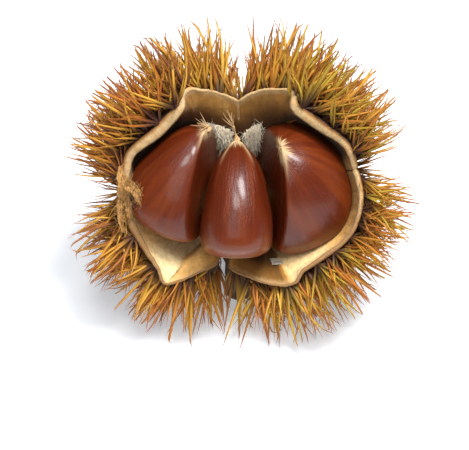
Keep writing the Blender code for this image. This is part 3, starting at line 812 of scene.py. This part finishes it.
# Each nut: its base and tip, half width out of the mouth, half thickness across it, and the flat
# faces, each as a point on it and the way that it looks.
NUTS = {
    "nut_left": dict(
        base=(-22.0, -7.4, -8.5), tip=(-7.6, 17.2, 6.5), half_width=17.5, half_thickness=14.5,
        flats=[((-11.4, 0.0, 4.0), (0.96, -0.167, 0.24))]),
    "nut_middle": dict(
        base=(-1.0, -19.4, 2.0), tip=(-0.9, 14.4, 3.0), half_width=15.5, half_thickness=10.6,
        flats=[((-11.9, -8.0, 4.0), (-0.96, 0.167, -0.24)),
               ((9.9, -8.0, 4.0), (0.965, 0.104, -0.24))]),
    "nut_right": dict(
        base=(18.0, -3.6, -14.0), tip=(9.2, 11.2, 13.5), half_width=19.0, half_thickness=17.5,
        flats=[((10.3, 0.0, 4.0), (-0.965, -0.104, 0.24))]),
}
PALE_RIDGE = {"nut_left": 7.0, "nut_middle": 8.0, "nut_right": 7.0}  # how far it runs from the tip
NUT_ROUNDS, NUT_SIDES = 130, 168
NUT_GAP = 0.5  # between the nuts and the lining
NUT_SQUARENESS = 2.3  # 2 is an oval section, and more is squarer
FLAT_EDGE, RIDGE_WIDTH = 0.9, 0.75  # roundness and paleness along a flat face's edge
CREST_TURN, CREST_WIDTH, CREST_HEIGHT = 0.78, 0.10, 0.35
SCAR_END = 0.012  # share of the nut's length

SHELL_RED = (0.110, 0.015, 0.003)
SHELL_DARK = (0.070, 0.011, 0.004)
SHELL_ORANGE_AND_REFLECTION = (0.22, 0.042, 0.007)
SHELL_FELT = (0.66, 0.47, 0.25)
SCAR = (0.42, 0.25, 0.11)

shell_skin, tree, shader = new_material("nut shell", 0.24)
streak, blotch = streaked(tree, 3.2, 1.9)
up = held(tree, "up")
red = mixed(tree, between(tree, streak, 0.35, 0.95, 0.0, 0.8), SHELL_RED, SHELL_DARK)
red = mixed(tree, between(tree, blotch, 0.45, 0.75, 0.0, 0.55), red, SHELL_ORANGE_AND_REFLECTION)
# Painted reflection: towards its base the shell turns orange, as if lit by light thrown back from the
# tan lining.
red = mixed(tree, between(tree, up, 0.30, 0.03, 0.0, 0.6), red, SHELL_ORANGE_AND_REFLECTION)
ray = maths(tree, "ADD", up, maths(tree, "MULTIPLY", streak, 0.10))
felt = between(tree, ray, 0.985, 1.03)
edge_pale = maths(tree, "MULTIPLY", held(tree, "ridge"),
                  between(tree, streak, 0.75, 0.3, 0.45, 0.85))
felt = maths(tree, "MAXIMUM", felt, edge_pale)
scar = held(tree, "scar")
red = mixed(tree, felt, red, SHELL_FELT)
red = mixed(tree, scar, red, SCAR)
tree.links.new(red, shader.inputs["Base Color"])
dull = maths(tree, "MAXIMUM", felt, scar)
tree.links.new(between(tree, dull, 0.0, 1.0, 0.34, 0.85), shader.inputs["Roughness"])
tree.links.new(between(tree, dull, 0.0, 1.0, 0.32, 0.0), shader.inputs["Coat Weight"])
shader.inputs["Coat Roughness"].default_value = 0.17
shader.inputs["Specular IOR Level"].default_value = 0.22
pores = put(tree, "ShaderNodeTexNoise",
            {"Vector": put(tree, "ShaderNodeTexCoord").outputs["Object"],
             "Scale": 1700.0, "Detail": 2.0, "Roughness": 0.6})
bumped(tree, shader, maths(tree, "ADD", streak, pores.outputs["Fac"]), 0.00013, 0.9)


def turned_over(face):
    """A face that looks the other way, from the same first corner."""
    return face[:1] + face[:0:-1]


# The lining, coarsely, to keep the nuts off it.
coarse_points, coarse_faces = [], []
for valve in VALVES:
    inner = grids[valve][1][::6, ::6]
    rows, columns = inner.shape[:2]
    coarse_faces += [turned_over(quad) for quad in grid_quads(rows, columns, len(coarse_points))]
    coarse_points += [tuple(p) for p in inner.reshape(-1, 3)]
lining_tree = BVHTree.FromPolygons(coarse_points, coarse_faces)


def flattened(points, flats):
    """Presses points that lie past a flat face back onto it, with a rounded edge."""
    ridge = np.zeros(len(points))
    for at, looks in flats:
        n = unit(looks)
        past = (points - np.array(at)) @ n
        ridge = np.maximum(ridge, np.exp(-(past / RIDGE_WIDTH) ** 2))
        points = points - (FLAT_EDGE * np.logaddexp(0, past / FLAT_EDGE))[:, None] * n
    return points, ridge


def inside_lining(points, gap):
    """Moves points that lie within gap of the lining back from it."""
    moved = []
    for p in points:
        p = Vector(p)
        for _ in range(3):
            at, normal, _, _ = lining_tree.find_nearest(p)
            p += normal * min(max(gap - (p - at).dot(normal), 0), 1.5)
        moved.append(tuple(p))
    return np.array(moved)


nut_tips = {}
for number, (name, nut) in enumerate(NUTS.items()):
    base, tip = np.array(nut["base"]), np.array(nut["tip"])
    size = np.linalg.norm(tip - base)
    axis = unit(tip - base)
    out = unit(np.array((0, 0, 1.0)) - axis * axis[2])
    across = np.cross(axis, out)
    share = np.linspace(0, 1, NUT_ROUNDS + 1)
    steps = np.linspace(0, 1, len(NUT_OUTLINE))
    along = smooth_through(steps, [p[0] for p in NUT_OUTLINE], share)[1:-1]
    width = smooth_through(steps, [p[1] for p in NUT_OUTLINE], share)[1:-1]
    turn = np.linspace(0, 2 * math.pi, NUT_SIDES, endpoint=False)
    a, b = np.cos(turn), np.sin(turn)
    round_off = (np.abs(a) ** NUT_SQUARENESS + np.abs(b) ** NUT_SQUARENESS) ** (-1 / NUT_SQUARENESS)
    width = width[:, None, None]
    rings = (base + axis * (along * size)[:, None, None]
             + out * (nut["half_width"] * width * (a * round_off)[None, :, None])
             + across * (nut["half_thickness"] * width * (b * round_off)[None, :, None]))
    points = np.concatenate([[base], rings.reshape(-1, 3), [base + axis * size]])
    up = np.concatenate([[0], np.repeat(along, NUT_SIDES), [1]])
    turned = np.concatenate([[0], np.tile(turn, len(along)), [0]])
    points = points + unit(points - (base + tip) / 2) * (
        0.28 * rough(points, 9.0, 11 + number) * np.sin(math.pi * up))[:, None]
    crest = np.zeros(len(points))
    if name == "nut_middle":
        # Two low crests run down its front from the tip.
        for side in (CREST_TURN, 2 * math.pi - CREST_TURN):
            crest = np.maximum(crest, np.exp(-((turned - side) / CREST_WIDTH) ** 2))
        crest *= ease(up, 0.45, 0.75)
        outward = unit(points - (base + (tip - base) * up[:, None]))
        points = points + outward * CREST_HEIGHT * crest[:, None]
    points, ridge = flattened(points, nut["flats"])
    below_tip = ease((np.array(tip) - points)[:, 1], -0.5, 1.5)
    ridge = np.maximum(ridge * below_tip, crest)
    from_tip = np.linalg.norm(points - tip, axis=1)
    ridge *= 1 - ease(from_tip, 0.4 * PALE_RIDGE[name], PALE_RIDGE[name] * 1.6)
    points = inside_lining(points, NUT_GAP)
    faces, last = [], len(points) - 1
    for i in range(NUT_SIDES):
        k = (i + 1) % NUT_SIDES
        faces.append((0, 1 + k, 1 + i))
        for j in range(len(along) - 1):
            faces.append((1 + j * NUT_SIDES + i, 1 + j * NUT_SIDES + k,
                          1 + (j + 1) * NUT_SIDES + k, 1 + (j + 1) * NUT_SIDES + i))
        faces.append((last - NUT_SIDES + i, last - NUT_SIDES + k, last))
    lines = np.stack([np.cos(turned) * 4.2, np.sin(turned) * 4.2, up * 1.6 + number * 7], axis=-1)
    fringe = np.stack([np.cos(turned) * 9, np.sin(turned) * 9, 0 * up], axis=-1)
    frayed = SCAR_END + 0.002 * rough(fringe, 1.0, 15)
    scar = 1 - ease(up, frayed - 0.004, frayed + 0.006)
    nut_tips[name] = points[-1]
    shell = new_mesh(name + "_shell", placed(points), faces, [shell_skin],
                     {"up": up, "ridge": ridge, "fibre_place": lines, "scar": scar})
    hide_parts(name)
    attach(shell, "root")


# ---------------------------------------------------------------------------- the styles
# What is left of each nut's flower: a dry, pale brown stem on its tip that splits into stiff
# bristles. The middle one stands up, and the other two lie back on their shells.

STYLES = {
    # nut, length and direction of its stem, number of bristles, the shortest and the longest,
    # how far they spread, and the direction that they fan out in
    "style_left": ("nut_left", 1.2, (-0.20, 0.55, 0.60), 15, 2.2, 5.2, 0.95, (-0.75, 0.25, 0.40)),
    "style_middle": ("nut_middle", 4.6, (-0.22, 0.85, 0.45), 9, 2.6, 5.4, 0.50,
                     (-0.50, 0.72, 0.45)),
    "style_right": ("nut_right", 0.6, (-0.45, 0.30, 0.70), 8, 0.8, 2.0, 1.10, (-0.35, 0.10, 0.45)),
}
STYLE_PALE = (0.72, 0.50, 0.25)
STYLE_BROWN = (0.38, 0.19, 0.07)

style_skin, tree, shader = new_material("dry style", 0.8)
streak, blotch = streaked(tree, 1.5, 1.8)
tree.links.new(mixed(tree, streak, STYLE_PALE, STYLE_BROWN), shader.inputs["Base Color"])
bumped(tree, shader, streak, 0.0001)


def tube(line, radii, sides=6):
    """A round body along a line, closed at both ends: its points and faces."""
    line = np.asarray(line, float)
    run = unit(np.gradient(line, axis=0))
    a = unit(np.cross(run, (0.31, 0.17, 0.93)))
    b = np.cross(run, a)
    angle = np.linspace(0, 2 * math.pi, sides, endpoint=False)
    ring = (np.cos(angle)[None, :, None] * a[:, None] + np.sin(angle)[None, :, None] * b[:, None])
    points = (line[:, None] + ring * np.asarray(radii)[:, None, None]).reshape(-1, 3)
    faces = [(j * sides + i, j * sides + (i + 1) % sides,
              (j + 1) * sides + (i + 1) % sides, (j + 1) * sides + i)
             for j in range(len(line) - 1) for i in range(sides)]
    return points, faces + [tuple(range(sides))[::-1],
                            tuple((len(line) - 1) * sides + i for i in range(sides))]


def joined(parts):
    """Several bodies as one: their points and faces."""
    points, faces, start = [], [], 0
    for some, sides in parts:
        points.append(some)
        faces += [tuple(start + k for k in f) for f in sides]
        start += len(some)
    return np.concatenate(points), faces


def bent(start, towards, length, sag, dice, steps=7):
    """A line from a point, that wanders a little to one side."""
    d = unit(towards)
    aside = unit(np.cross(d, dice.normal(size=3)))
    u = np.linspace(0, 1, steps)[:, None]
    return start + d * length * u + aside * sag * length * u ** 2


for number, (name, (nut, stem, towards, count, shortest, longest, spread, fan)) in enumerate(
        STYLES.items()):
    dice = np.random.default_rng(40 + number)
    tip = nut_tips[nut]
    line = bent(tip - unit(towards) * 0.5, towards, stem + 0.5, 0.12, dice, 14)
    u = np.linspace(0, 1, 14)
    parts = [tube(line, 0.30 + 0.75 * np.exp(-(u / 0.22) ** 2) + 0.10 * np.sin(u * 9), 12)]
    for k in range(count):
        way = unit(unit(fan) + spread * dice.uniform(-1, 1, 3))
        reach = dice.uniform(shortest, longest)
        begin = line[-2] if stem > 2 else line[dice.integers(3, 12)]
        parts.append(tube(bent(begin, way, reach, dice.uniform(-0.25, 0.25), dice),
                          np.linspace(0.20, 0.035, 7), 5))
    points, faces = joined(parts)
    style = new_mesh(name + "_bristles", placed(points), faces, [style_skin],
                     {"fibre_place": points * (2, 2, 2)})
    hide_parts(name)
    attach(style, "root")


# ---------------------------------------------------------------------------- the silk
# Pale grey down that packs the top of the cavity, behind the nuts' tips. It's two thin pads of
# felt on the lining, one on each upper valve, with loose hairs over them.

PATCHES = {
    # valve, range across the valve, range up the wall, thickness, distance from the lining
    "silk_right": ("upper_right", (0.80, 0.998), (0.32, 0.77), 1.5, 0.4),
    "silk_left": ("upper_left", (0.002, 0.26), (0.32, 0.77), 1.5, 0.4),
}
SILK_WHITE = (1.0, 0.92, 0.74)
SILK_GREY = (0.88, 0.72, 0.47)
SILK_TAN = (0.52, 0.38, 0.20)
HAIRS = 620  # loose ones on each pad

silk_skin, tree, shader = new_material("silk", 0.9)
streak, blotch = streaked(tree, 1.0, 2.2)
grey = mixed(tree, streak, SILK_WHITE, SILK_GREY)
grey = mixed(tree, between(tree, blotch, 0.55, 0.75, 0.0, 0.5), grey, SILK_TAN)
tree.links.new(grey, shader.inputs["Base Color"])
shader.inputs["Sheen Weight"].default_value = 0.6
bumped(tree, shader, streak, 0.0004)


def closed_sheet(low, high):
    """Two grids of points, one over the other, as one closed sheet: its points and faces."""
    rows, columns = low.shape[:2]
    size = rows * columns
    faces = []
    for quad in grid_quads(rows, columns):
        faces += [quad, tuple(size + k for k in quad[::-1])]
    edge = ([i for i in range(columns - 1)] + [(j + 1) * columns - 1 for j in range(rows - 1)]
            + [(rows - 1) * columns + i for i in range(columns - 1, 0, -1)]
            + [j * columns for j in range(rows - 1, 0, -1)])
    faces += [(a, a + size, b + size, b) for a, b in zip(edge, edge[1:] + edge[:1])]
    return np.concatenate([low.reshape(-1, 3), high.reshape(-1, 3)]), faces


def pad(valve, across, up, thickness, off, seed, steps=44):
    """A thin, lumpy pad that follows the lining, with an uneven outline."""
    u, v = np.meshgrid(np.linspace(0, 1, steps + 1), np.linspace(0, 1, steps + 1))
    turn = np.stack([np.cos(u * 6) * 2, np.sin(v * 6) * 2, u + v], axis=-1).reshape(-1, 3)
    ragged = 0.06 * rough(turn, 0.5, seed).reshape(u.shape)
    s = across[0] + (across[1] - across[0]) * np.clip(u + ragged * (u - 0.5) * 2, 0, 1)
    t = up[0] + (up[1] - up[0]) * (v + 2 * ragged * (v - 0.5))
    base, out = wall_point(valve, s, t), wall_normal(valve, s, t)
    lumps = rough(base.reshape(-1, 3), 1.8, seed + 1).reshape(u.shape)
    dome = np.minimum(1, 7 * np.minimum(np.minimum(u, 1 - u), np.minimum(v, 1 - v))) ** 0.5
    low = base - (WALL + off) * out
    high = base - (WALL + off + 0.05 + thickness * dome * (0.75 + 0.45 * lumps))[..., None] * out
    return closed_sheet(low, high), high.reshape(-1, 3), out.reshape(-1, 3)


for number, (name, (valve, across, up, thickness, off)) in enumerate(PATCHES.items()):
    dice = np.random.default_rng(60 + number)
    felt_pad, top, out = pad(valve, across, up, thickness, off, 21 + number)
    parts = [felt_pad]
    for k in dice.integers(0, len(top), HAIRS):
        way = unit(dice.normal(size=3) * (0.7, 1.4, 0.7) + 0.6 * np.array((0, -0.6, 0.6))
                   - 0.4 * out[k])
        hair = bent(top[k], way, dice.uniform(1.4, 4.6), dice.uniform(-0.7, 0.7), dice, 6)
        parts.append(tube(hair, np.linspace(0.07, 0.03, 6), 4))
    points, faces = joined(parts)
    silk = new_mesh(name + "_felt", placed(points), faces, [silk_skin],
                    {"fibre_place": points * (1.2, 0.5, 0.5)})
    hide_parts(name)
    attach(silk, "root")


# ---------------------------------------------------------------------------- the membrane flake
# A flake of the thin papery membrane that lay between the nuts. It's loose on the lining of the
# lower right valve, curled at its corners.

FLAKE_WHITE = (0.70, 0.64, 0.54)
FLAKE_GREY = (0.30, 0.25, 0.18)

flake_skin, tree, shader = new_material("membrane", 0.7)
streak, blotch = streaked(tree, 1.6, 2.0)
tree.links.new(mixed(tree, streak, FLAKE_WHITE, FLAKE_GREY), shader.inputs["Base Color"])
bumped(tree, shader, streak, 0.0002)
(points, faces), _, _ = pad("lower_right", (0.28, 0.37), (0.77, 0.86), 0.25, 0.4, 31, 26)
crumple = 0.35 * rough(points, 1.1, 33)
points = points + crumple[:, None] * (-0.3, 0.3, 0.9)
flake = new_mesh("membrane_sheet", placed(points), faces, [flake_skin],
                 {"fibre_place": points * (1.5, 1.5, 0.5)})
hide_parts("membrane_flake")
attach(flake, "root")


# ---------------------------------------------------------------------------- the lining shred
# Where the left side tore, a strip of the lining came loose and hangs over the edge of the wall.
# It's tan and fibrous, with threads along its sides.

SHREDS = [
    # the line of the strip, and half its width along it
    ([(-32.0, 1.8, 8.4), (-30.6, 0.6, 10.2), (-29.2, -0.8, 10.6), (-28.6, -3.4, 9.8)],
     (1.1, 1.5, 1.2, 0.4)),
    ([(-33.6, 6.4, 8.6), (-33.4, 3.2, 9.4), (-32.8, 0.6, 9.2), (-33.6, -2.6, 7.6)],
     (0.5, 1.2, 1.6, 0.8)),
    ([(-33.6, -1.6, 7.0), (-33.9, -4.4, 7.6), (-33.7, -8.0, 7.0), (-33.0, -12.0, 5.8)],
     (0.9, 0.8, 0.9, 0.4)),
    ([(-32.4, -1.4, 7.4), (-31.6, -3.6, 8.0), (-31.4, -6.0, 7.2), (-31.0, -8.0, 5.8)],
     (0.6, 0.9, 0.8, 0.3)),
]

SHRED_TAN = (0.62, 0.33, 0.10)
SHRED_BROWN = (0.26, 0.13, 0.04)
SHRED_THICKNESS = 0.35
THREADS = 110  # on each strip

shred_skin, tree, shader = new_material("torn lining", 0.9)
streak, blotch = streaked(tree, 1.4, 2.4)
torn = mixed(tree, between(tree, streak, 0.3, 0.8), SHRED_TAN, SHRED_BROWN)
tree.links.new(torn, shader.inputs["Base Color"])
bumped(tree, shader, streak, 0.0003)
dice = np.random.default_rng(80)
parts = []
for number, (shred_line, widths) in enumerate(SHREDS):
    u = np.linspace(0, 1, 40)
    knots = np.linspace(0, 1, 4)
    line = np.stack([smooth_through(knots, [p[k] for p in shred_line], u) for k in range(3)],
                    axis=-1)
    run = unit(np.gradient(line, axis=0))
    aside = unit(np.cross(run, (0, 0, 1.0)))
    above = np.cross(aside, run)
    cross = np.linspace(-1, 1, 15)
    half = smooth_through(knots, widths, u) * (1 + 0.35 * rough(line * 2, 0.8, 35 + number))
    strip = line[:, None] + aside[:, None] * (cross[None, :] * half[:, None])[..., None]
    crumple = rough(strip.reshape(-1, 3), 0.8, 36).reshape(len(u), -1)
    curl = 0.5 * cross[None, :] ** 2 + 0.25 * crumple
    strip = strip + above[:, None] * curl[..., None]
    points, faces = closed_sheet(strip, strip + above[:, None] * SHRED_THICKNESS)
    parts.append((points, [turned_over(face) for face in faces]))
    for k in dice.integers(0, strip.size // 3, THREADS):
        along = run[k // len(cross)]
        way = unit(dice.normal(size=3) + along * dice.choice((-1, 1)) * 1.6)
        thread = bent(points[k], way, dice.uniform(0.8, 3.0), dice.uniform(-0.6, 0.6), dice, 6)
        parts.append(tube(thread, np.linspace(0.10, 0.03, 6), 4))
points, faces = joined(parts)
shred = new_mesh("lining_strip", placed(points), faces, [shred_skin],
                 {"fibre_place": points * (1.6, 0.5, 1.0)})
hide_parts("lining_shred")
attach(shred, "root")


# ---------------------------------------------------------------------------- studio
# A pale floor under three round lights: a key high on the right, one in front and a low fill. The
# camera looks down at 45 degrees, straight into the husk's mouth.

CAMERA_DISTANCE = 0.5
CAMERA_PITCH = math.radians(45)
FLOOR_HALF = 1.5

camera_data = bpy.data.cameras.new("camera")
camera_data.lens = 134
camera = bpy.data.objects.new("camera", camera_data)
bpy.context.collection.objects.link(camera)
target = Vector(husk_centre) + Vector((-0.00157, -0.00707, -0.00707))
direction = Vector((0, -math.cos(CAMERA_PITCH), math.sin(CAMERA_PITCH)))
camera.location = target + direction * CAMERA_DISTANCE
camera.rotation_euler = (-direction).to_track_quat("-Z", "Y").to_euler()
bpy.context.scene.camera = camera

floor_mesh = bpy.data.meshes.new("floor")
corners = ((-1, -1), (1, -1), (1, 1), (-1, 1))
floor_mesh.from_pydata([(x * FLOOR_HALF, y * FLOOR_HALF, 0) for x, y in corners], [], [(0, 1, 2, 3)])
floor = bpy.data.objects.new("floor", floor_mesh)
bpy.context.collection.objects.link(floor)
floor_skin, tree, shader = new_material("floor", 0.8)
shader.inputs["Base Color"].default_value = (0.88, 0.90, 0.93, 1)
shader.inputs["Emission Color"].default_value = (0.86, 0.93, 1.0, 1)
shader.inputs["Emission Strength"].default_value = 0.35
floor_mesh.materials.append(floor_skin)


def light(name, place, size, power):
    """A round light that points at the husk."""
    data = bpy.data.lights.new(name, "AREA")
    data.shape = "DISK"
    data.size = size
    data.energy = power
    lamp = bpy.data.objects.new(name, data)
    lamp.location = place
    lamp.rotation_euler = (Vector((0, 0, 0.03)) - Vector(place)).to_track_quat("-Z", "Y").to_euler()
    bpy.context.collection.objects.link(lamp)


light("key", (0.25, -0.02, 0.85), 0.30, 9.8)
light("front", (-0.04, -0.27, 0.88), 0.26, 3.2)
light("fill", (-0.12, -0.62, 0.60), 0.50, 1.3)
world = bpy.data.worlds.new("world")
bpy.context.scene.world = world
world.use_nodes = True
world.node_tree.nodes["Background"].inputs["Color"].default_value = (0.88, 0.94, 1.0, 1)
world.node_tree.nodes["Background"].inputs["Strength"].default_value = 0.15
bpy.context.scene.view_settings.view_transform = "Standard"
